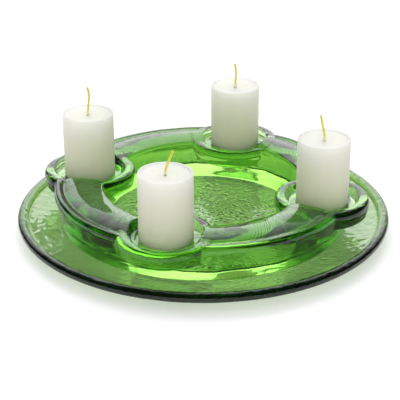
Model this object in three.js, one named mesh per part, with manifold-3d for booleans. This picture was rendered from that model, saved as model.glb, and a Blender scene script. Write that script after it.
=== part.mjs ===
// Advent wreath: a pressed-glass ring with four candle cups, standing in a glass plate.
// Millimetres, +Z up. The origin is the centre of the plate's underside.
import * as THREE from 'three';
import { mergeVertices } from 'three/addons/utils/BufferGeometryUtils.js';
import Module from 'manifold-3d';

// Clear space between a piece and what it stands on, or runs through
const seatGap = 0.3;

// Stump candles
const candleRadius = 22.5;
const candleHeight = 58;
const candleEdgeRound = 1.5;
const candleTopDip = 0.7;
const candleTopLip = 3;
const candleFunnelRadius = 5;
const candleFunnelDepth = 1;

// Wicks: the rise above the candle, and how far the middle and the tip lean
const wickRadius = 0.95;
const wickLeanAngle = 16.3;
const firstWickRise = 21;
const firstWickMidLean = -1.4;
const firstWickTipLean = -3.6;
const secondWickRise = 21;
const secondWickMidLean = 0.5;
const secondWickTipLean = -0.6;
const thirdWickRise = 24;
const thirdWickMidLean = 1.2;
const thirdWickTipLean = 0.2;
const fourthWickRise = 19;
const fourthWickMidLean = 2.3;
const fourthWickTipLean = 6;

// Wick holders, pressed from thin steel
const tabRadius = 8;
const tabThickness = 0.5;
const tabRecess = 0.3;
const collarWall = 0.5;
const collarHeight = 5;

// Candle cups, sunk into the ring and standing proud of its walls
const candleCircleRadius = 106.3;
const candleRoom = 8;
const cupFloorFillet = 4.5;
const cupRimWidth = 10.5;
const cupRimDip = 3.5;
const cupDraft = 1.8;
const cupFloorThickness = 10;
const cupFootRound = 2;

// Glass ring: both walls lean outwards, as they leave the mould
const cupFloorHeight = 27;
const ringOutset = 24.3;
const ringInset = 18.5;
const outerDraft = 5;
const innerDraft = 5.5;
const ringFootRound = 2.5;
const cupEdgeRound = 3;

// Heights on top of the ring, all above the floor of the cups
const rimRise = 6.3;
const rimWidth = 8;
const grooveRise = 3;
const crestRise = 9.5;
const innerEdgeRise = 6.5;
const innerEdgeRound = 3;

// Glass plate
const plateThickness = 8;
const plateFootMargin = 2;
const plateBrimWidth = 36;
const plateBrimRise = 9.5;

// Fineness of the round forms
const plateSides = 72;
const ringSides = 64;
const cupSides = 32;
const candleSides = 32;
const tabSides = 20;
const wickSides = 8;
const wickSteps = 24;
const curveSteps = 3;

// One wick for each candle, counted from the +X axis
const wickShapes = [
  { rise: firstWickRise, midLean: firstWickMidLean, tipLean: firstWickTipLean },
  { rise: secondWickRise, midLean: secondWickMidLean, tipLean: secondWickTipLean },
  { rise: thirdWickRise, midLean: thirdWickMidLean, tipLean: thirdWickTipLean },
  { rise: fourthWickRise, midLean: fourthWickMidLean, tipLean: fourthWickTipLean },
];

// Fits that follow from the sizes above
const cupOpeningRadius = candleRadius + candleRoom;
const cupOuterRadius = cupOpeningRadius + cupRimWidth;
const ringOuterRadius = candleCircleRadius + ringOutset;
const ringInnerRadius = candleCircleRadius - ringInset;
const ringBaseOuterRadius = ringOuterRadius - outerDraft;
const ringBaseInnerRadius = ringInnerRadius - innerDraft;
const plateFlatRadius = ringBaseOuterRadius + plateFootMargin;
const plateRadius = plateFlatRadius + plateBrimWidth;
const wickBoreRadius = wickRadius + seatGap;
const collarRadius = wickBoreRadius + collarWall;
const tabTop = tabRecess + tabThickness;
const collarTop = tabTop + collarHeight;
const ringSeat = plateThickness + seatGap;
const candleSeat = ringSeat + cupFloorHeight + seatGap;

const upAxis = new THREE.Vector3(0, 0, 1);
const wasm = await Module();
wasm.setup();

// A round form: the outline holds radius and height, and turns about the Z axis
function turned(outline, sides) {
  const geometry = new THREE.LatheGeometry(outline.getPoints(curveSteps), sides);
  return geometry.rotateX(Math.PI / 2);
}

// A closed solid from a geometry, with shared corners and no empty faces at its poles
function solidOf(geometry) {
  geometry.deleteAttribute('normal');
  geometry.deleteAttribute('uv');
  const merged = mergeVertices(geometry);
  const corners = merged.index.array;
  const triangles = [];
  for (let first = 0; first < corners.length; first += 3) {
    const [a, b, c] = corners.slice(first, first + 3);
    if (a !== b && b !== c && c !== a) {
      triangles.push(a, b, c);
    }
  }
  const mesh = new wasm.Mesh({
    numProp: 3,
    vertProperties: merged.attributes.position.array,
    triVerts: Uint32Array.from(triangles),
  });
  return new wasm.Manifold(mesh);
}

function geometryOf(solid) {
  const mesh = solid.getMesh();
  const geometry = new THREE.BufferGeometry();
  geometry.setAttribute('position', new THREE.BufferAttribute(mesh.vertProperties, 3));
  geometry.setIndex(new THREE.BufferAttribute(mesh.triVerts, 1));
  geometry.computeVertexNormals();
  return geometry;
}

function named(name, geometry, finish) {
  const mesh = new THREE.Mesh(geometry, new THREE.MeshStandardMaterial(finish));
  mesh.name = name;
  return mesh;
}

// Shallow dish: flat under the ring, with a brim that rises to a half-round rim
function plateGeometry() {
  const rimRadius = plateThickness / 2;
  const rimCentre = plateRadius - rimRadius;
  const brimBend = plateFlatRadius + plateBrimWidth / 2;
  const outline = new THREE.Path();
  outline.moveTo(0, 0);
  outline.lineTo(plateFlatRadius, 0);
  outline.quadraticCurveTo(brimBend, 0, rimCentre, plateBrimRise);
  outline.absarc(rimCentre, plateBrimRise + rimRadius, rimRadius, -Math.PI / 2, Math.PI / 2);
  outline.quadraticCurveTo(brimBend, plateThickness, plateFlatRadius, plateThickness);
  outline.lineTo(0, plateThickness);
  return turned(outline, plateSides);
}

// Ring without its cups: up the outer wall, over the rim, the groove and the dome, down the inner wall
function bridgeGeometry() {
  const rimHeight = cupFloorHeight + rimRise;
  const rimRadius = ringOuterRadius - rimWidth / 2;
  const grooveRadius = ringOuterRadius - rimWidth;
  const crestHeight = cupFloorHeight + crestRise;
  const innerEdge = cupFloorHeight + innerEdgeRise;
  const innerEdgeOut = ringInnerRadius + innerEdgeRound;
  const outline = new THREE.Path();
  outline.moveTo(ringBaseOuterRadius - ringFootRound, 0);
  outline.quadraticCurveTo(ringBaseOuterRadius, 0, ringBaseOuterRadius, ringFootRound);
  outline.lineTo(ringOuterRadius, cupFloorHeight);
  outline.quadraticCurveTo(ringOuterRadius, rimHeight, rimRadius, rimHeight);
  outline.quadraticCurveTo(
    (rimRadius + grooveRadius) / 2, rimHeight,
    grooveRadius, cupFloorHeight + grooveRise,
  );
  outline.quadraticCurveTo(
    (grooveRadius + candleCircleRadius) / 2, crestHeight,
    candleCircleRadius, crestHeight,
  );
  outline.quadraticCurveTo(
    (candleCircleRadius + innerEdgeOut) / 2, crestHeight,
    innerEdgeOut, innerEdge,
  );
  outline.quadraticCurveTo(
    ringInnerRadius, innerEdge - innerEdgeRound / 3,
    ringInnerRadius, innerEdge - innerEdgeRound,
  );
  outline.lineTo(ringBaseInnerRadius, ringFootRound);
  outline.quadraticCurveTo(ringBaseInnerRadius, 0, ringBaseInnerRadius + ringFootRound, 0);
  outline.lineTo(ringBaseOuterRadius - ringFootRound, 0);
  return turned(outline, ringSides);
}

// One cup before it is hollowed: a puck with a rounded rim, its floor at height 0
function cupGeometry() {
  const footRadius = cupOuterRadius - cupDraft;
  const rimCrestRadius = cupOpeningRadius + cupRimWidth / 2;
  const rimInside = rimRise - cupRimDip;
  const outline = new THREE.Path();
  outline.moveTo(0, -cupFloorThickness);
  outline.lineTo(footRadius - cupFootRound, -cupFloorThickness);
  outline.quadraticCurveTo(footRadius, -cupFloorThickness, footRadius, cupFootRound - cupFloorThickness);
  outline.lineTo(cupOuterRadius, 0);
  outline.quadraticCurveTo(cupOuterRadius, rimRise, rimCrestRadius, rimRise);
  outline.quadraticCurveTo(cupOpeningRadius, rimRise, cupOpeningRadius, rimInside);
  outline.lineTo(0, rimInside);
  return turned(outline, cupSides);
}

// The hollow of a cup: a filleted floor, an upright wall and a flare that rounds the bridge's edge
function hollowGeometry() {
  const floorRadius = cupOpeningRadius - cupFloorFillet;
  const flareFoot = crestRise - cupEdgeRound;
  const flareTop = crestRise + cupEdgeRound / 2;
  const outline = new THREE.Path();
  outline.moveTo(0, 0);
  outline.lineTo(floorRadius, 0);
  outline.quadraticCurveTo(cupOpeningRadius, 0, cupOpeningRadius, cupFloorFillet);
  outline.lineTo(cupOpeningRadius, Math.max(flareFoot, cupFloorFillet));
  outline.quadraticCurveTo(
    cupOpeningRadius, crestRise,
    cupOpeningRadius + cupEdgeRound, Math.max(flareTop, cupFloorFillet),
  );
  outline.lineTo(0, Math.max(flareTop, cupFloorFillet));
  return turned(outline, cupSides);
}

function ringGeometry() {
  let glass = solidOf(bridgeGeometry());
  for (const cup of cupPlaces()) {
    const puck = solidOf(cupGeometry().translate(cup.x, cup.y, cupFloorHeight));
    glass = glass.add(puck);
  }
  for (const cup of cupPlaces()) {
    const hollow = solidOf(hollowGeometry().translate(cup.x, cup.y, cupFloorHeight));
    glass = glass.subtract(hollow);
  }
  return geometryOf(glass);
}

// Cup centres, evenly round the candle circle, the first on the +X axis
function cupPlaces() {
  return wickShapes.map((shape, place) => {
    const angle = (place * 2 * Math.PI) / wickShapes.length;
    return new THREE.Vector3(candleCircleRadius, 0, 0).applyAxisAngle(upAxis, angle);
  });
}

// Wax body with a bore for the wick and a stepped pocket for the wick holder
function waxGeometry() {
  const topEdge = candleHeight - candleEdgeRound;
  const dishHeight = candleHeight - candleTopDip;
  const dishRadius = candleRadius - candleEdgeRound - candleTopLip;
  const pocketTop = tabTop + seatGap;
  const stepTop = collarTop + seatGap;
  const outline = new THREE.Path();
  outline.moveTo(candleRadius - candleEdgeRound, 0);
  outline.quadraticCurveTo(candleRadius, 0, candleRadius, candleEdgeRound);
  outline.lineTo(candleRadius, topEdge);
  outline.quadraticCurveTo(candleRadius, candleHeight, candleRadius - candleEdgeRound, candleHeight);
  outline.lineTo(dishRadius, dishHeight);
  outline.lineTo(candleFunnelRadius, dishHeight);
  outline.lineTo(wickBoreRadius, dishHeight - candleFunnelDepth);
  outline.lineTo(wickBoreRadius, stepTop);
  outline.lineTo(collarRadius + seatGap, stepTop);
  outline.lineTo(collarRadius + seatGap, pocketTop);
  outline.lineTo(tabRadius + seatGap, pocketTop);
  outline.lineTo(tabRadius + seatGap, 0);
  outline.lineTo(candleRadius - candleEdgeRound, 0);
  return turned(outline, candleSides);
}

// Steel disc with a collar that grips the foot of the wick
function tabGeometry() {
  const outline = new THREE.Path();
  outline.moveTo(wickBoreRadius, tabRecess);
  outline.lineTo(tabRadius, tabRecess);
  outline.lineTo(tabRadius, tabTop);
  outline.lineTo(collarRadius, tabTop);
  outline.lineTo(collarRadius, collarTop);
  outline.lineTo(wickBoreRadius, collarTop);
  outline.lineTo(wickBoreRadius, tabRecess);
  return turned(outline, tabSides);
}

// Wick: straight through the candle, then free above it and leaning to one side
function wickGeometry({ rise, midLean, tipLean }) {
  const lean = new THREE.Vector3(1, 0, 0).applyAxisAngle(upAxis, THREE.MathUtils.degToRad(wickLeanAngle));
  const at = (sideways, height) => lean.clone().multiplyScalar(sideways).setZ(height);
  const free = candleHeight - candleTopDip;
  const pull = (8 * midLean - tipLean) / 3;
  const route = new THREE.CurvePath();
  route.add(new THREE.LineCurve3(at(0, tabRecess + seatGap), at(0, free)));
  route.add(new THREE.CubicBezierCurve3(
    at(0, free),
    at(0, free + rise / 3),
    at(pull, free + (2 * rise) / 3),
    at(tipLean, free + rise),
  ));
  const section = new THREE.Shape().absarc(0, 0, wickRadius, 0, 2 * Math.PI);
  return new THREE.ExtrudeGeometry(section, {
    steps: wickSteps,
    curveSegments: wickSides / 2,
    extrudePath: route,
  });
}

const plateGlass = { color: 0xb9d2ab, roughness: 0.08, metalness: 0 };
const ringGlass = { color: 0x4f9a2e, roughness: 0.05, metalness: 0 };
const wax = { color: 0xe9e8df, roughness: 0.5, metalness: 0 };
const cotton = { color: 0xe6d63c, roughness: 0.9, metalness: 0 };
const steel = { color: 0xb4b6b8, roughness: 0.35, metalness: 1 };

const wreath = new THREE.Group();
wreath.add(named('plate', plateGeometry(), plateGlass));

const ring = named('candle_ring', ringGeometry(), ringGlass);
ring.position.z = ringSeat;
wreath.add(ring);

cupPlaces().forEach((cup, place) => {
  const name = `candle_${place + 1}`;
  const candle = new THREE.Group();
  candle.add(named(`${name}_wax`, waxGeometry(), wax));
  candle.add(named(`${name}_wick`, wickGeometry(wickShapes[place]), cotton));
  candle.add(named(`${name}_wick_tab`, tabGeometry(), steel));
  candle.position.set(cup.x, cup.y, candleSeat);
  wreath.add(candle);
});

export default wreath;
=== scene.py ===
# Advent wreath: glass ring with four candle cups on a glass plate, four stump candles
import math
import random

import bpy
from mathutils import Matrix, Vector


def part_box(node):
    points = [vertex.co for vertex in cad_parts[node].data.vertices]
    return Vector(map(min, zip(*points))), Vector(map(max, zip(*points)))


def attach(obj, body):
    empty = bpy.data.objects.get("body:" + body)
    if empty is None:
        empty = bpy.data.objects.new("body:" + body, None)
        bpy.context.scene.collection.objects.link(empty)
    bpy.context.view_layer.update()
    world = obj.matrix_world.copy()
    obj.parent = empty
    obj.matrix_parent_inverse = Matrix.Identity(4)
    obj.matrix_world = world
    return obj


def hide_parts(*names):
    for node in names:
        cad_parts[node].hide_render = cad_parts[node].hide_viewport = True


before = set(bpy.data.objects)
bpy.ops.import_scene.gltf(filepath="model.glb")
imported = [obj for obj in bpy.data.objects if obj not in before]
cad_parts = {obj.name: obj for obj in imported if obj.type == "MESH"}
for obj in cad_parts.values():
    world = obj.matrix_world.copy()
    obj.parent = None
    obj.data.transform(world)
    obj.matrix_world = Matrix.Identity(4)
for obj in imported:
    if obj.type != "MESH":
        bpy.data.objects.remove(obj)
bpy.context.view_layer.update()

scene = bpy.context.scene
scene.view_settings.view_transform = "Standard"
candleNames = ["candle_1", "candle_2", "candle_3", "candle_4"]
upAxis = (0, 0, 1)
fullTurn = 2 * math.pi


# Small tools for modelling by hand

toolSet = {
    "startSize": 0.001,  # plane that is merged to the first point of an outline
    "weld": 1e-6,
}


def clearSelection():
    if bpy.context.object and bpy.context.object.mode != "OBJECT":
        bpy.ops.object.mode_set(mode="OBJECT")
    bpy.ops.object.select_all(action="DESELECT")


def pick(*pieces):
    clearSelection()
    for piece in pieces:
        piece.select_set(True)
    bpy.context.view_layer.objects.active = pieces[0]


def rename(piece, name):
    piece.name = name
    piece.data.name = name


# Points of a bend from one point to another, pulled towards a third; the start is left out
def bow(start, pull, end, count):
    points = []
    for number in range(1, count + 1):
        t = number / count
        near, far = (1 - t) ** 2, t ** 2
        middle = 2 * t * (1 - t)
        points.append(tuple(near * a + middle * b + far * c for a, b, c in zip(start, pull, end)))
    return points


# Evenly spaced points of a straight stretch; the start is left out
def run(start, end, count):
    return bow(start, [(a + b) / 2 for a, b in zip(start, end)], end, count)


# Outline of radius and height, drawn from one vertex and spun about the Z axis
def spinOutline(name, outline, steps):
    clearSelection()
    bpy.ops.mesh.primitive_plane_add(size=toolSet["startSize"])
    piece = bpy.context.object
    rename(piece, name)
    bpy.ops.object.mode_set(mode="EDIT")
    bpy.ops.mesh.select_all(action="SELECT")
    bpy.ops.mesh.merge(type="CENTER")
    bpy.ops.transform.translate(value=(outline[0][0], 0, outline[0][1]))
    for before, after in zip(outline, outline[1:]):
        step = (after[0] - before[0], 0, after[1] - before[1])
        bpy.ops.mesh.extrude_vertices_move(TRANSFORM_OT_translate={"value": step})
    bpy.ops.mesh.select_all(action="SELECT")
    bpy.ops.mesh.spin(steps=steps, angle=fullTurn, center=(0, 0, 0), axis=upAxis)
    bpy.ops.mesh.select_all(action="SELECT")
    bpy.ops.mesh.remove_doubles(threshold=toolSet["weld"])
    bpy.ops.mesh.normals_make_consistent(inside=False)
    bpy.ops.object.mode_set(mode="OBJECT")
    return piece


def shift(piece, move):
    pick(piece)
    bpy.ops.object.mode_set(mode="EDIT")
    bpy.ops.mesh.select_all(action="SELECT")
    bpy.ops.transform.translate(value=move)
    bpy.ops.object.mode_set(mode="OBJECT")


def finishWith(piece, kind, **values):
    pick(piece)
    bpy.ops.object.modifier_add(type=kind)
    modifier = piece.modifiers[-1]
    for key, value in values.items():
        setattr(modifier, key, value)
    bpy.ops.object.modifier_apply(modifier=modifier.name)


def combine(piece, tool, operation):
    finishWith(piece, "BOOLEAN", object=tool, operation=operation, solver="EXACT")
    bpy.data.objects.remove(tool)


def cloudTexture(name, size, detail=1):
    texture = bpy.data.textures.new(name, "CLOUDS")
    texture.noise_scale = size
    texture.noise_depth = detail
    return texture


def smoothShade(piece, angle=None):
    pick(piece)
    if angle is None:
        bpy.ops.object.shade_smooth()
    else:
        bpy.ops.object.shade_smooth_by_angle(angle=math.radians(angle))


def candlePlace(name):
    low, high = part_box(name + "_wax")
    return (low + high) / 2


# Materials

def newMaterial(name):
    material = bpy.data.materials.new(name)
    material.use_nodes = True
    nodes = material.node_tree.nodes
    return material, nodes, material.node_tree.links, nodes["Principled BSDF"]


def addNode(nodes, kind, **values):
    node = nodes.new(kind)
    for key, value in values.items():
        setattr(node, key, value)
    return node


def setInputs(node, **values):
    for key, value in values.items():
        node.inputs[key.replace("_", " ")].default_value = value


def objectPlace(nodes):
    return addNode(nodes, "ShaderNodeTexCoord").outputs["Object"]


# Height of the shaded point above the floor
def heightAbove(nodes, links, place):
    split = addNode(nodes, "ShaderNodeSeparateXYZ")
    links.new(place, split.inputs["Vector"])
    return split.outputs["Z"]


def noiseNode(nodes, links, vector, scale, detail=3, roughness=0.5):
    noise = addNode(nodes, "ShaderNodeTexNoise")
    setInputs(noise, Scale=scale, Detail=detail, Roughness=roughness)
    links.new(vector, noise.inputs["Vector"])
    return noise.outputs["Fac"]


def rangeNode(nodes, links, value, low, high, atLow=0, atHigh=1):
    found = addNode(nodes, "ShaderNodeMapRange")
    links.new(value, found.inputs["Value"])
    setInputs(found, From_Min=low, From_Max=high, To_Min=atLow, To_Max=atHigh)
    return found.outputs["Result"]


# Each stop is a place from 0 to 1 with a colour, or with one grey level
def rampNode(nodes, links, factor, stops):
    ramp = addNode(nodes, "ShaderNodeValToRGB")
    for element, (place, colour) in zip(ramp.color_ramp.elements, stops):
        element.position = place
        element.color = (*colour, 1) if isinstance(colour, tuple) else (colour, colour, colour, 1)
    links.new(factor, ramp.inputs["Fac"])
    return ramp.outputs["Color"]


def bumpNode(nodes, links, height, strength, distance):
    bump = addNode(nodes, "ShaderNodeBump")
    setInputs(bump, Strength=strength, Distance=distance)
    links.new(height, bump.inputs["Height"])
    return bump


# Either colour is a value or another node's output
def mixColours(nodes, links, factor, first, second):
    mix = addNode(nodes, "ShaderNodeMix", data_type="RGBA", clamp_factor=True)
    links.new(factor, mix.inputs["Factor"])
    for key, colour in (("A", first), ("B", second)):
        socket = next(slot for slot in mix.inputs if slot.name == key and slot.type == "RGBA")
        if isinstance(colour, tuple):
            socket.default_value = colour
        else:
            links.new(colour, socket)
    return next(slot for slot in mix.outputs if slot.type == "RGBA")


glassSet = {
    "ior": 1.5,
    "ringColour": (0.49, 0.80, 0.135, 1),  # what the glass lets through
    "ringDensity": 54,  # per metre of glass
    "plateColour": (0.53, 0.87, 0.14, 1),
    "plateDensity": 136,
    "cordScale": 30,
    "cordDetail": 2,
    "cordTint": [(0.3, (0.94, 0.97, 0.93)), (0.7, (1, 1, 1))],
    "cordStrength": 0.3,
    "cordDepth": 0.002,
    "hazeScale": 180,
    "hazeDetail": 4,
    "hazeRough": [(0.45, 0), (0.8, 0.06)],
    "footRough": 0.12,
    "footFrom": 0.0085,  # heights between which the foot of the ring turns glossy
    "footTo": 0.0092,
    # painted shade: dark green tint laid on the ring over its rolled edges and round the cups
    "creaseShadeColour": (0.03, 0.12, 0.02, 1),
    # painted shade: darker tint over the outer rim of the plate
    "rimShadeColour": (0.26, 0.37, 0.20, 1),
}


# Cords and haze that both pieces of glass have, as one node group
def glassGroup():
    g = glassSet
    group = bpy.data.node_groups.new("glass cords and haze", "ShaderNodeTree")
    group.interface.new_socket("Vector", in_out="INPUT", socket_type="NodeSocketVector")
    group.interface.new_socket("Tint", in_out="OUTPUT", socket_type="NodeSocketColor")
    group.interface.new_socket("Roughness", in_out="OUTPUT", socket_type="NodeSocketFloat")
    group.interface.new_socket("Height", in_out="OUTPUT", socket_type="NodeSocketFloat")
    nodes, links = group.nodes, group.links
    place = addNode(nodes, "NodeGroupInput").outputs["Vector"]
    leave = addNode(nodes, "NodeGroupOutput")
    cords = noiseNode(nodes, links, place, g["cordScale"], g["cordDetail"])
    haze = noiseNode(nodes, links, place, g["hazeScale"], g["hazeDetail"])
    links.new(rampNode(nodes, links, cords, g["cordTint"]), leave.inputs["Tint"])
    links.new(rampNode(nodes, links, haze, g["hazeRough"]), leave.inputs["Roughness"])
    links.new(cords, leave.inputs["Height"])
    return group


glassNodes = glassGroup()


# Glass with its cords, haze and colour, and painted shade as a darker tint where the named mask
# says so
def newGlass(name, colour, density, shadeMask, shadeColour):
    material, nodes, links, shader = newMaterial(name)
    place = objectPlace(nodes)
    setInputs(shader, IOR=glassSet["ior"], Transmission_Weight=1)
    cords = addNode(nodes, "ShaderNodeGroup", node_tree=glassNodes)
    links.new(place, cords.inputs["Vector"])
    links.new(cords.outputs["Roughness"], shader.inputs["Roughness"])
    shadeMaskNode = addNode(nodes, "ShaderNodeAttribute", attribute_name=shadeMask)
    tint = mixColours(nodes, links, shadeMaskNode.outputs["Fac"], cords.outputs["Tint"], shadeColour)
    links.new(tint, shader.inputs["Base Color"])
    bump = bumpNode(nodes, links, cords.outputs["Height"],
                    glassSet["cordStrength"], glassSet["cordDepth"])
    links.new(bump.outputs["Normal"], shader.inputs["Normal"])
    absorb = addNode(nodes, "ShaderNodeVolumeAbsorption")
    setInputs(absorb, Color=colour, Density=density)
    links.new(absorb.outputs["Volume"], nodes["Material Output"].inputs["Volume"])
    return material, nodes, links, shader, place, cords, bump


# The foot of the ring, which stands on the plate, is a little dull
def ringGlass():
    g = glassSet
    # the crease mask paints shade into the glass as a dark tint
    material, nodes, links, shader, place, cords, bump = newGlass(
        "green pressed glass", g["ringColour"], g["ringDensity"], "crease", g["creaseShadeColour"])
    foot = rangeNode(nodes, links, heightAbove(nodes, links, place),
                     g["footFrom"], g["footTo"], g["footRough"], 0)
    rough = addNode(nodes, "ShaderNodeMath", operation="MAXIMUM")
    links.new(foot, rough.inputs[0])
    links.new(cords.outputs["Roughness"], rough.inputs[1])
    links.new(rough.outputs["Value"], shader.inputs["Roughness"])
    return material


linenSet = {
    "pitch": 0.0019,
    "depth": 0.00013,
    "strength": 1,
    "wobble": 1.5,
    "detail": 1,
    "detailScale": 0.4,
    "bandLength": fullTurn / 20,  # of a wave texture at scale 1
}


def plateGlass():
    s = linenSet
    # the rim mask tints the outer rim with painted shade
    material, nodes, links, shader, place, cords, bump = newGlass(
        "pale linen glass", glassSet["plateColour"], glassSet["plateDensity"],
        "rim", glassSet["rimShadeColour"])
    both = addNode(nodes, "ShaderNodeMath", operation="ADD")
    for number, direction in enumerate(("X", "Y")):
        thread = addNode(nodes, "ShaderNodeTexWave", bands_direction=direction)
        setInputs(thread, Scale=s["bandLength"] / s["pitch"], Distortion=s["wobble"],
                  Detail=s["detail"], Detail_Scale=s["detailScale"])
        links.new(place, thread.inputs["Vector"])
        links.new(thread.outputs["Fac"], both.inputs[number])
    underside = addNode(nodes, "ShaderNodeAttribute", attribute_name="linen")
    height = addNode(nodes, "ShaderNodeMath", operation="MULTIPLY")
    links.new(both.outputs["Value"], height.inputs[0])
    links.new(underside.outputs["Fac"], height.inputs[1])
    linen = bumpNode(nodes, links, height.outputs["Value"], s["strength"], s["depth"])
    links.new(bump.outputs["Normal"], linen.inputs["Normal"])
    links.new(linen.outputs["Normal"], shader.inputs["Normal"])
    return material


waxSet = {
    "top": (0.87, 0.865, 0.73),
    # painted shade and green glass light: the wax turns olive towards its foot
    "foot": (0.70, 0.73, 0.47),
    "shadeStop": 0.02,
    "shadedBelow": 0.034,
    "unshadedAbove": 0.085,
    "ior": 1.44,
    "sheen": 0.2,
    "glowDepth": 0.05,  # how far light spreads in the wax, with less of the blue
    "glowColour": (1, 1, 0.85),
    "mottle": 0.05,
    "mottleScale": 140,
    "mottleDetail": 5,
    "mottleRoughness": 0.6,
    "rough": [(0.3, 0.45), (0.7, 0.6)],
    "bumpStrength": 0.2,
    "bumpDepth": 0.0004,
}


def candleWax():
    s = waxSet
    material, nodes, links, shader = newMaterial("white candle wax")
    place = objectPlace(nodes)
    setInputs(shader, IOR=s["ior"], Specular_IOR_Level=s["sheen"], Subsurface_Weight=1,
              Subsurface_Scale=s["glowDepth"], Subsurface_Radius=s["glowColour"])
    mottle = noiseNode(nodes, links, place,
                       s["mottleScale"], s["mottleDetail"], s["mottleRoughness"])
    # Painted shade: the wax colour fades from the top colour to an olive foot lower down, with
    # random mottle added
    rise = rangeNode(nodes, links, heightAbove(nodes, links, place),
                     s["shadedBelow"], s["unshadedAbove"])
    mottleAndShade = addNode(nodes, "ShaderNodeMath", operation="MULTIPLY_ADD")
    links.new(mottle, mottleAndShade.inputs[0])
    mottleAndShade.inputs[1].default_value = s["mottle"]
    links.new(rise, mottleAndShade.inputs[2])
    tint = rampNode(nodes, links, mottleAndShade.outputs["Value"],
                    [(s["shadeStop"], s["foot"]), (1, s["top"])])
    links.new(tint, shader.inputs["Base Color"])
    links.new(rampNode(nodes, links, mottle, s["rough"]), shader.inputs["Roughness"])
    bump = bumpNode(nodes, links, mottle, s["bumpStrength"], s["bumpDepth"])
    links.new(bump.outputs["Normal"], shader.inputs["Normal"])
    return material


cottonSet = {
    "yellow": [(0.3, (0.87, 0.78, 0.08)), (0.7, (0.97, 0.92, 0.26))],
    "waxed": (0.95, 0.93, 0.66, 1),
    "waxedTo": 0.0958,  # wax coats the wick up to this height, and ends over the fade
    "waxedFade": 0.002,
    "fibreScale": 900,
    "fibreDetail": 4,
    "fibreRoughness": 0.7,
    "rough": 0.7,
    "glow": 0.3,
    "glowDepth": 0.002,
    "bumpStrength": 0.5,
    "bumpDepth": 0.0002,
}


def wickCotton():
    s = cottonSet
    material, nodes, links, shader = newMaterial("yellow waxed cotton")
    place = objectPlace(nodes)
    fibre = noiseNode(nodes, links, place, s["fibreScale"], s["fibreDetail"], s["fibreRoughness"])
    rise = rangeNode(nodes, links, heightAbove(nodes, links, place),
                     s["waxedTo"] - s["waxedFade"], s["waxedTo"])
    tint = rampNode(nodes, links, fibre, s["yellow"])
    links.new(mixColours(nodes, links, rise, s["waxed"], tint), shader.inputs["Base Color"])
    setInputs(shader, Roughness=s["rough"], Subsurface_Weight=s["glow"],
              Subsurface_Scale=s["glowDepth"])
    bump = bumpNode(nodes, links, fibre, s["bumpStrength"], s["bumpDepth"])
    links.new(bump.outputs["Normal"], shader.inputs["Normal"])
    return material


steelSet = {
    "colour": [(0.3, (0.55, 0.56, 0.57)), (0.7, (0.72, 0.73, 0.74))],
    "rough": [(0.3, 0.25), (0.7, 0.42)],
    "rolledScale": 700,
}


def tabSteel():
    material, nodes, links, shader = newMaterial("pressed tab steel")
    setInputs(shader, Metallic=1)
    rolled = noiseNode(nodes, links, objectPlace(nodes), steelSet["rolledScale"])
    links.new(rampNode(nodes, links, rolled, steelSet["colour"]), shader.inputs["Base Color"])
    links.new(rampNode(nodes, links, rolled, steelSet["rough"]), shader.inputs["Roughness"])
    return material


def dress(piece, material, body, slot, *nodes):
    piece.data.materials.clear()
    piece.data.materials.append(material)
    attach(piece, body)
    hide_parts(*nodes)


# Camera, as the photograph was taken

cameraSet = {
    "azimuth": 16.37,
    "elevation": 24.32,
    "distance": 1.125,
    "aimHeight": 0.0356,
    "sensor": 36,
    "lens": 114.84,
    "shift": (-0.008, -0.0343),
}


# Unit vector from the object, by degrees round it and degrees above the floor
def directionTo(azimuth, elevation):
    turn, tilt = math.radians(azimuth), math.radians(elevation)
    level, rise = math.cos(tilt), math.sin(tilt)
    return Vector((math.sin(turn) * level, -math.cos(turn) * level, rise))


def addCamera():
    back = directionTo(cameraSet["azimuth"], cameraSet["elevation"])
    aim = Vector((0, 0, cameraSet["aimHeight"]))
    bpy.ops.object.camera_add(location=aim + back * cameraSet["distance"])
    camera = bpy.context.object
    camera.rotation_euler = (-back).to_track_quat("-Z", "Y").to_euler()
    camera.data.sensor_width = cameraSet["sensor"]
    camera.data.lens = cameraSet["lens"]
    camera.data.shift_x, camera.data.shift_y = cameraSet["shift"]
    scene.camera = camera


clearSelection()
addCamera()
print("camera placed")


# Plate: a flat middle, and a brim that rises to a half-round rim

plateSet = {
    "thickness": 0.008,
    "footRadius": 0.1276,  # where the brim starts to rise
    "topBend": 0.75,  # share of the brim where its top turns up
    "rimRound": 0.0047,  # the rolled rim is a little thicker than the plate
    "rimEnds": 152,  # degrees, where the roll meets the top of the brim
    "steps": 480,
    "underRings": 30,
    "topRings": 84,
    "brimRings": 26,
    "rimRings": 14,
    "level": 0.6,  # faces at least this level count as top or underside
    "rimShadeWidth": 0.0072,  # width of the painted shade on the rim, and over which it sets in
    "rimFade": 0.0012,
    "rippleSize": 0.0042,
    "rippleDepth": 0.0009,
    "waveSize": 0.05,
    "waveDepth": 0.0003,
}


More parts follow.
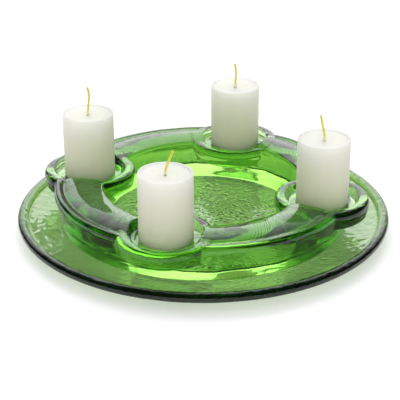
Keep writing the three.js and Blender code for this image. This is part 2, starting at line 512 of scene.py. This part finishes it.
def makePlate():
    s = plateSet
    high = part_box("plate")[1]
    thick, foot, rimRound = s["thickness"], s["footRadius"], s["rimRound"]
    rimCentre, rimHeight = high.x - rimRound, high.z - rimRound
    brimBend = (foot + high.x) / 2
    outline = [(0, 0)]
    outline += run((0, 0), (foot, 0), s["underRings"])
    outline += bow((foot, 0), (brimBend, 0), (rimCentre, rimHeight - rimRound), s["brimRings"])
    for number in range(1, s["rimRings"] + 1):
        angle = math.radians((90 + s["rimEnds"]) * number / s["rimRings"] - 90)
        outline.append((rimCentre + rimRound * math.cos(angle),
                        rimHeight + rimRound * math.sin(angle)))
    topBend = foot + s["topBend"] * (high.x - foot)
    outline += bow(outline[-1], (topBend, thick), (foot, thick), s["brimRings"])
    outline += run((foot, thick), (0, thick), s["topRings"])
    plate = spinOutline("glass_plate", outline, s["steps"])
    markFaces(plate)
    # Both only go inwards, so that the plate keeps off the floor and the ring
    finishWith(plate, "DISPLACE", texture=cloudTexture("plate waves", s["waveSize"]),
               texture_coords="LOCAL", strength=s["waveDepth"], mid_level=1)
    finishWith(plate, "DISPLACE", texture=cloudTexture("plate ripples", s["rippleSize"]),
               texture_coords="LOCAL", strength=s["rippleDepth"], mid_level=1,
               vertex_group="upper")
    smoothShade(plate)
    return plate


# The ripples are on the top of the plate, the linen texture is on its underside, and the outer
# rim is marked for painted shade
def markFaces(plate):
    s = plateSet
    upper = [vertex.index for vertex in plate.data.vertices if vertex.normal.z > s["level"]]
    plate.vertex_groups.new(name="upper").add(upper, 1, "REPLACE")
    linen = plate.data.attributes.new("linen", "FLOAT", "POINT")
    # the rim attribute holds the painted shade of the outer rim
    rim = plate.data.attributes.new("rim", "FLOAT", "POINT")
    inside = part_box("plate")[1].x - s["rimShadeWidth"]
    for vertex in plate.data.vertices:
        past = (vertex.co.xy.length - inside) / s["rimFade"]
        linen.data[vertex.index].value = 1 if vertex.normal.z < -s["level"] else 0
        rim.data[vertex.index].value = min(1, max(0, past))


plate = makePlate()
dress(plate, plateGlass(), "plate", "plate_glass", "plate")
print("plate", len(plate.data.polygons), "faces")


# Ring: a spun bridge with four cups joined on and hollowed out

ringSet = {
    "rimOut": 0.0243,  # outer wall, out from the candle circle
    "wallIn": 0.0185,  # inner wall, in from the candle circle
    "outerDraft": 0.005,
    "innerDraft": 0.0055,
    "footRound": 0.0025,
    "rimRise": 0.0063,  # heights above the floor of the cups
    "grooveRise": 0.0045,
    "crestRise": 0.0095,
    "innerRise": 0.0065,
    "rimWidth": 0.008,
    "innerRound": 0.003,
    "seatGap": 0.0003,
    "cupRoom": 0.008,
    "cupRim": 0.0105,
    "cupRimDip": 0.0035,
    "cupDraft": 0.0018,
    "cupFloor": 0.010,
    "cupFootRound": 0.002,
    "cupFillet": 0.0045,
    "cupEdgeRound": 0.003,
    "bendPoints": 6,  # points of each stretch of an outline
    "wallPoints": 8,
    "rollPoints": 8,
    "domePoints": 10,
    "underPoints": 6,
    "flatPoints": 4,
    "lipPoints": 2,
    "steps": 192,
    "cupSteps": 96,
    "voxel": 0.0009,
    "polish": 4,
    "polishFactor": 0.5,
    "keep": 0.48,  # share of the triangles that is kept
    "rollShadeLine": 0.0055,  # half the width of the painted shade over the rolled edge
    "rollPlace": 0.7,  # share of the rolled edge, in from the outer wall
    "rollShadeGain": 1.6,
    "rollShade": [0.3, 0.3, 1, 0],  # how strong the painted shade is on each bridge
    "cupShadeLine": 0.0014,  # the same half width of painted shade round the cups
    "waveSize": 0.02,
    "waveDepth": 0.0006,
}

# Air bubbles in the glass: a few large ones by the front wall, and many small ones
seedSet = {
    "draw": 7,
    "count": 70,
    "small": 0.00025,
    "large": 0.0006,
    "turnFrom": 22,  # degrees within each quarter, clear of the cups
    "turnTo": 68,
    "inward": 0.012,  # from the candle circle
    "outward": 0.015,
    "aboveFoot": 0.004,
    "roundness": 2,
    "front": [(-62, 0.0283, 0.0008), (-59, 0.0230, 0.0006), (-66, 0.0262, 0.0006),
              (-71, 0.0190, 0.0007)],  # degrees, height and radius
    "frontDepth": 0.004,
}


def bridgeOutline(circle, base, floor):
    s = ringSet
    bend, wall, dome = s["bendPoints"], s["wallPoints"], s["domePoints"]
    outer, inner = circle + s["rimOut"], circle - s["wallIn"]
    outerFoot, innerFoot = outer - s["outerDraft"], inner - s["innerDraft"]
    foot = base + s["footRound"]
    rim, groove = floor + s["rimRise"], floor + s["grooveRise"]
    crest, edge = floor + s["crestRise"], floor + s["innerRise"]
    rimMiddle, grooveRadius = outer - s["rimWidth"] / 2, outer - s["rimWidth"]
    edgeOut = inner + s["innerRound"]
    points = [(outerFoot - s["footRound"], base)]
    points += bow(points[-1], (outerFoot, base), (outerFoot, foot), bend)
    points += run(points[-1], (outer, floor), wall)
    points += bow(points[-1], (outer, rim), (rimMiddle, rim), s["rollPoints"])
    points += bow(points[-1], ((rimMiddle + grooveRadius) / 2, rim), (grooveRadius, groove), bend)
    points += bow(points[-1], ((grooveRadius + circle) / 2, crest), (circle, crest), dome)
    points += bow(points[-1], ((circle + edgeOut) / 2, crest), (edgeOut, edge), dome)
    points += bow(points[-1], (inner, edge - s["innerRound"] / 3),
                  (inner, edge - s["innerRound"]), bend)
    points += run(points[-1], (innerFoot, foot), wall)
    points += bow(points[-1], (innerFoot, base), (innerFoot + s["footRound"], base), bend)
    points += run(points[-1], points[0], s["underPoints"])
    return points


def cupOutline(opening, floor):
    s = ringSet
    flat, roll = s["flatPoints"], s["rollPoints"]
    outer = opening + s["cupRim"]
    foot = outer - s["cupDraft"]
    under = floor - s["cupFloor"]
    rim, inside = floor + s["rimRise"], floor + s["rimRise"] - s["cupRimDip"]
    points = [(0, under)]
    points += run(points[-1], (foot - s["cupFootRound"], under), flat)
    points += bow(points[-1], (foot, under), (foot, under + s["cupFootRound"]), s["bendPoints"])
    points += run(points[-1], (outer, floor), flat)
    points += bow(points[-1], (outer, rim), (opening + s["cupRim"] / 2, rim), roll)
    points += bow(points[-1], (opening, rim), (opening, inside), roll)
    points += run(points[-1], (0, inside), flat)
    return points


def hollowOutline(opening, floor):
    s = ringSet
    flat, roll = s["flatPoints"], s["rollPoints"]
    crest, flare = floor + s["crestRise"], s["cupEdgeRound"]
    points = [(0, floor)]
    points += run(points[-1], (opening - s["cupFillet"], floor), flat)
    points += bow(points[-1], (opening, floor), (opening, floor + s["cupFillet"]), roll)
    points += run(points[-1], (opening, crest - flare), s["lipPoints"])
    points += bow(points[-1], (opening, crest), (opening + flare, crest + flare), roll)
    points += run(points[-1], (0, crest + flare), flat)
    return points


def combineAtCups(ring, name, outline, operation):
    for candleName in candleNames:
        tool = spinOutline(name, outline, ringSet["cupSteps"])
        middle = candlePlace(candleName)
        shift(tool, (middle.x, middle.y, 0))
        combine(ring, tool, operation)


def makeRing():
    s = ringSet
    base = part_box("candle_ring")[0].z
    waxLow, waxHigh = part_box("candle_1_wax")
    circle = candlePlace("candle_1").x
    floor = waxLow.z - s["seatGap"]
    opening = (waxHigh.x - waxLow.x) / 2 + s["cupRoom"]
    ring = spinOutline("glass_ring", bridgeOutline(circle, base, floor), s["steps"])
    combineAtCups(ring, "cup", cupOutline(opening, floor), "UNION")
    combineAtCups(ring, "hollow", hollowOutline(opening, floor), "DIFFERENCE")
    finishWith(ring, "REMESH", mode="VOXEL", voxel_size=s["voxel"])
    finishWith(ring, "SMOOTH", factor=s["polishFactor"], iterations=s["polish"])
    finishWith(ring, "DISPLACE", texture=cloudTexture("ring waves", s["waveSize"]),
               texture_coords="LOCAL", strength=s["waveDepth"], mid_level=0.5)
    finishWith(ring, "DECIMATE", ratio=s["keep"])
    paintCreaseShade(ring, circle, floor, opening)
    addSeeds(ring, circle, base, floor)
    smoothShade(ring)
    return ring


# Painted shade: the glass gets a dark tint where it turns, over the rolled edge of the bridges
# and round each cup
def paintCreaseShade(ring, circle, floor, opening):
    s = ringSet
    roll = circle + s["rimOut"] - s["rimWidth"] * s["rollPlace"]
    cupRadius, cupFoot = opening + s["cupRim"], floor - s["cupFloor"]
    middles = [candlePlace(name).xy for name in candleNames]
    # the crease mask holds how much painted shade each point gets
    shadeMask = ring.data.attributes.new("crease", "FLOAT", "POINT")
    for vertex in ring.data.vertices:
        place = vertex.co
        fromCup = min((place.xy - middle).length for middle in middles) - cupRadius
        shadeAmount = 0
        if abs(place.z - cupFoot) < s["cupShadeLine"]:
            shadeAmount = 1 - abs(fromCup + s["cupDraft"]) / s["cupShadeLine"]
        elif place.z > floor + s["grooveRise"]:
            shadeAmount = 1 - abs(fromCup) / s["cupShadeLine"]
        if fromCup > 0 and place.z > floor:
            quarter = int(math.degrees(math.atan2(place.y, place.x)) % 360 // 90)
            away = abs(place.xy.length - roll) / s["rollShadeLine"]
            shadeAmount = max(shadeAmount, s["rollShade"][quarter] * min(1, s["rollShadeGain"] * (1 - away)))
        shadeMask.data[vertex.index].value = max(0, shadeAmount)


def addSeeds(ring, circle, base, floor):
    s = seedSet
    chance = random.Random(s["draw"])
    outer = circle + ringSet["rimOut"]
    seeds = []
    for turn, height, size in s["front"]:
        lean = ringSet["outerDraft"] * (floor - height) / (floor - base)
        seeds.append((math.radians(turn), outer - lean - s["frontDepth"], height, size))
    for number in range(s["count"]):
        quarter = 90 * chance.randrange(4)
        turn = math.radians(quarter + chance.uniform(s["turnFrom"], s["turnTo"]))
        radius = circle + chance.uniform(-s["inward"], s["outward"])
        height = chance.uniform(base + s["aboveFoot"], floor)
        seeds.append((turn, radius, height, chance.uniform(s["small"], s["large"])))
    bubbles = []
    for turn, radius, height, size in seeds:
        clearSelection()
        bpy.ops.mesh.primitive_ico_sphere_add(
            subdivisions=s["roundness"], radius=size,
            location=(radius * math.cos(turn), radius * math.sin(turn), height))
        bubbles.append(bpy.context.object)
    pick(*bubbles)
    bpy.ops.object.join()
    bpy.ops.object.transform_apply(location=True, rotation=True, scale=True)
    bubble = bpy.context.object
    bpy.ops.object.mode_set(mode="EDIT")
    bpy.ops.mesh.select_all(action="SELECT")
    bpy.ops.mesh.flip_normals()
    bpy.ops.object.mode_set(mode="OBJECT")
    pick(ring, bubble)
    bpy.ops.object.join()


ring = makeRing()
dress(ring, ringGlass(), "ring", "ring_glass", "candle_ring")
print("ring", len(ring.data.polygons), "faces")


# Candles: bevelled stumps with a dished top, a bore and a pocket for the wick holder

candleSet = {
    "sides": 96,
    "level": 0.9,  # faces at least this level count as top or foot
    "edgeRound": 0.0007,
    "edgeSegments": 5,
    "topLip": 0.0013,
    "topSlope": 0.0009,
    "topDip": 0.0011,
    "funnelRadius": 0.005,
    "funnelDepth": 0.001,
    "boreRadius": 0.00125,
    "pocketRadius": 0.0083,
    "pocketDepth": 0.0011,
    "cuts": 15,
    "unevenSize": 0.02,
    "unevenDetail": 2,
    "unevenDepth": 0.0003,
    "shadeAngle": 35,
}


def selectFaces(piece, test):
    bpy.ops.mesh.select_all(action="DESELECT")
    bpy.ops.object.mode_set(mode="OBJECT")
    for face in piece.data.polygons:
        face.select = test(face)
    bpy.ops.object.mode_set(mode="EDIT")


def makeCandle(name):
    s, level = candleSet, candleSet["level"]
    low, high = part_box(name + "_wax")
    middle, radius = (low + high) / 2, (high.x - low.x) / 2
    clearSelection()
    bpy.ops.mesh.primitive_cylinder_add(vertices=s["sides"], radius=radius,
                                        depth=high.z - low.z, location=middle)
    candle = bpy.context.object
    rename(candle, name + "_stump")
    bpy.ops.object.transform_apply(location=True, rotation=True, scale=True)
    bpy.ops.object.mode_set(mode="EDIT")
    bpy.ops.mesh.select_mode(type="FACE")
    selectFaces(candle, lambda face: abs(face.normal.z) > level)
    bpy.ops.mesh.bevel(offset=s["edgeRound"], segments=s["edgeSegments"])
    selectFaces(candle, lambda face: face.normal.z > level and face.area > radius ** 2)
    bpy.ops.mesh.inset(thickness=s["topLip"])
    bpy.ops.mesh.inset(thickness=s["topSlope"])
    bpy.ops.transform.translate(value=(0, 0, -s["topDip"]))
    dish = radius - s["edgeRound"] - s["topLip"] - s["topSlope"]
    bpy.ops.mesh.inset(thickness=dish - s["funnelRadius"])
    bpy.ops.mesh.inset(thickness=s["funnelRadius"] - s["boreRadius"])
    bpy.ops.transform.translate(value=(0, 0, -s["funnelDepth"]))
    selectFaces(candle, lambda face: face.normal.z < -level and face.area > radius ** 2)
    bpy.ops.mesh.inset(thickness=radius - s["edgeRound"] - s["pocketRadius"])
    bpy.ops.mesh.extrude_region_move(TRANSFORM_OT_translate={"value": (0, 0, s["pocketDepth"])})
    bpy.ops.mesh.inset(thickness=s["pocketRadius"] - s["boreRadius"])
    selectFaces(candle, lambda face: abs(face.normal.z) > level
                and len(face.vertices) == s["sides"])
    bpy.ops.mesh.bridge_edge_loops()
    bpy.ops.mesh.select_all(action="SELECT")
    for number in range(1, s["cuts"]):
        cut = low.z + (high.z - low.z) * number / s["cuts"]
        bpy.ops.mesh.bisect(plane_co=(middle.x, middle.y, cut), plane_no=upAxis)
        bpy.ops.mesh.select_all(action="SELECT")
    bpy.ops.mesh.normals_make_consistent(inside=False)
    bpy.ops.object.mode_set(mode="OBJECT")
    uneven = cloudTexture(name + " uneven", s["unevenSize"], s["unevenDetail"])
    finishWith(candle, "DISPLACE", texture=uneven, texture_coords="LOCAL",
               strength=s["unevenDepth"], mid_level=0.5)
    smoothShade(candle, s["shadeAngle"])
    return candle


wax = candleWax()
for name in candleNames:
    candle = makeCandle(name)
    dress(candle, wax, name, "candle_wax", name + "_wax")
    print(name, len(candle.data.polygons), "faces")


# Wicks: strands twisted together, straight through the candle and leaning above it

wickSet = {
    "strands": 3,
    "strand": 0.00058,  # radius of one strand
    "spread": 0.00054,  # strand centres, out from the middle of the wick
    "pitch": 0.006,
    "strandSides": 10,
    "turnSteps": 14,
    "routeSteps": 32,
    "shadeAngle": 50,
    "start": 0.0006,  # above the foot of the candle
    "leaves": 0.0573,  # where the wick comes out of the wax
    "leanAngle": 16.3,
    "candle_1": {"rise": 0.021, "middle": -0.0014, "tip": -0.0036},
    "candle_2": {"rise": 0.021, "middle": 0.0005, "tip": -0.0006},
    "candle_3": {"rise": 0.024, "middle": 0.0012, "tip": 0.0002},
    "candle_4": {"rise": 0.019, "middle": 0.0023, "tip": 0.0060},
}


def wickRoute(name, foot):
    s, shape = wickSet, wickSet[name]
    turn = math.radians(s["leanAngle"])
    leave, rise = s["leaves"], shape["rise"]
    # This handle takes the curve through the wick's middle on its way to the tip
    pull = (8 * shape["middle"] - shape["tip"]) / 3

    def at(sideways, height):
        return foot + Vector((math.cos(turn) * sideways, math.sin(turn) * sideways, height))

    start, exit, tip = at(0, s["start"]), at(0, leave), at(shape["tip"], leave + rise)
    clearSelection()
    bpy.ops.curve.primitive_bezier_curve_add()
    route = bpy.context.object
    spline = route.data.splines[0]
    spline.bezier_points.add(1)
    stops = [
        (start, start, at(0, leave / 3)),
        (at(0, leave * 2 / 3), exit, at(0, leave + rise / 3)),
        (at(pull, leave + rise * 2 / 3), tip, tip),
    ]
    for point, (before, place, after) in zip(spline.bezier_points, stops):
        point.handle_left_type = point.handle_right_type = "FREE"
        point.handle_left, point.co, point.handle_right = before, place, after
    route.data.resolution_u = s["routeSteps"]
    return route, spline.calc_length()


def makeWick(name):
    s = wickSet
    low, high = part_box(name + "_wax")
    middle = (low + high) / 2
    route, length = wickRoute(name, Vector((middle.x, middle.y, low.z)))
    turns = math.ceil(length / s["pitch"])
    clearSelection()
    bpy.ops.mesh.primitive_circle_add(vertices=s["strandSides"], radius=s["strand"],
                                      rotation=(math.pi / 2, 0, 0), location=(s["spread"], 0, 0))
    wick = bpy.context.object
    rename(wick, name + "_twisted_wick")
    bpy.ops.object.transform_apply(location=True, rotation=True, scale=True)
    bpy.ops.object.mode_set(mode="EDIT")
    for number in range(1, s["strands"]):
        bpy.ops.mesh.duplicate()
        bpy.ops.transform.rotate(value=fullTurn / s["strands"], orient_axis="Z",
                                 center_override=(0, 0, 0))
    bpy.ops.object.mode_set(mode="OBJECT")
    finishWith(wick, "SCREW", axis="Z", angle=fullTurn, screw_offset=length / turns,
               iterations=turns, steps=s["turnSteps"], render_steps=s["turnSteps"],
               use_merge_vertices=False)
    finishWith(wick, "CURVE", object=route, deform_axis="POS_Z")
    bpy.data.objects.remove(route)
    pick(wick)
    bpy.ops.object.mode_set(mode="EDIT")
    bpy.ops.mesh.select_mode(type="EDGE")
    bpy.ops.mesh.select_all(action="SELECT")
    bpy.ops.mesh.fill_holes(sides=s["strandSides"])
    bpy.ops.mesh.select_all(action="SELECT")
    bpy.ops.mesh.normals_make_consistent(inside=False)
    bpy.ops.object.mode_set(mode="OBJECT")
    smoothShade(wick, s["shadeAngle"])
    return wick


cotton = wickCotton()
steel = tabSteel()
for name in candleNames:
    wick = makeWick(name)
    dress(wick, cotton, name, "wick_cotton", name + "_wick")
    print(wick.name, len(wick.data.polygons), "faces")
    tab = bpy.data.objects[name + "_wick_tab"]
    tab.data.materials.clear()
    tab.data.materials.append(steel)


# Studio: white floor and even soft light; the glass mirrors a bright backdrop and a dim room

studioSet = {
    "floorSize": 6,
    "floorColour": (0.79, 0.79, 0.79, 1),
    "floorRough": 0.9,
    "floorGlow": 0.36,
    "white": (1, 1, 1, 1),
    "softLight": (0.34, 0.34, 0.34, 1),
    "frontLight": {"level": 1.1, "turn": 0, "rise": 32, "inner": 0, "outer": 80},
    "backLight": {"level": 1.8, "turn": 195, "rise": 42, "inner": 5, "outer": 52},
    "room": (0.06, 0.06, 0.06, 1),
    "backdrop": {"level": 2.8, "turn": 180, "rise": 38, "inner": 12, "outer": 50},
}


def anyRay(nodes, links, names):
    path = addNode(nodes, "ShaderNodeLightPath")
    total = path.outputs[names[0]]
    for name in names[1:]:
        larger = addNode(nodes, "ShaderNodeMath", operation="MAXIMUM")
        links.new(total, larger.inputs[0])
        links.new(path.outputs[name], larger.inputs[1])
        total = larger.outputs["Value"]
    return total


def addFloor():
    clearSelection()
    bpy.ops.mesh.primitive_plane_add(size=studioSet["floorSize"])
    floor = bpy.context.object
    rename(floor, "studio_floor")
    material, nodes, links, shader = newMaterial("white studio floor")
    setInputs(shader, Base_Color=studioSet["floorColour"], Roughness=studioSet["floorRough"],
              Specular_IOR_Level=0)
    seen = anyRay(nodes, links, ["Is Camera Ray", "Is Glossy Ray", "Is Transmission Ray"])
    strength = addNode(nodes, "ShaderNodeMath", operation="MULTIPLY")
    strength.inputs[1].default_value = studioSet["floorGlow"]
    links.new(seen, strength.inputs[0])
    glow = addNode(nodes, "ShaderNodeEmission")
    links.new(strength.outputs["Value"], glow.inputs["Strength"])
    both = addNode(nodes, "ShaderNodeAddShader")
    links.new(shader.outputs["BSDF"], both.inputs[0])
    links.new(glow.outputs["Emission"], both.inputs[1])
    links.new(both.outputs["Shader"], nodes["Material Output"].inputs["Surface"])
    floor.data.materials.append(material)


# A round patch of light as the object sees it; turn is counted from the camera's side,
# and the patch fades out between its inner and outer angle
def addPatch(nodes, links, direction, below, patch):
    towards = addNode(nodes, "ShaderNodeVectorMath", operation="DOT_PRODUCT")
    links.new(direction, towards.inputs[0])
    turn = cameraSet["azimuth"] + patch["turn"]
    towards.inputs[1].default_value = directionTo(turn, patch["rise"])
    edge = addNode(nodes, "ShaderNodeMapRange", interpolation_type="SMOOTHSTEP")
    links.new(towards.outputs["Value"], edge.inputs["Value"])
    setInputs(edge, From_Min=math.cos(math.radians(patch["outer"])),
              From_Max=math.cos(math.radians(patch["inner"])))
    level = patch["level"]
    return mixColours(nodes, links, edge.outputs["Result"], below, (level, level, level, 1))


# Pale surfaces get the soft light, and the glass shows the backdrop and the room
def lightStudio():
    world = bpy.data.worlds.new("studio")
    scene.world = world
    world.use_nodes = True
    nodes, links = world.node_tree.nodes, world.node_tree.links
    direction = addNode(nodes, "ShaderNodeTexCoord").outputs["Generated"]
    seen = addPatch(nodes, links, direction, studioSet["room"], studioSet["backdrop"])
    soft = addPatch(nodes, links, direction, studioSet["softLight"], studioSet["frontLight"])
    soft = addPatch(nodes, links, direction, soft, studioSet["backLight"])
    path = addNode(nodes, "ShaderNodeLightPath")
    light = mixColours(nodes, links, path.outputs["Diffuse Depth"], seen, soft)
    light = mixColours(nodes, links, path.outputs["Is Camera Ray"], light, studioSet["white"])
    links.new(light, nodes["Background"].inputs["Color"])


addFloor()
lightStudio()
print("studio lit")
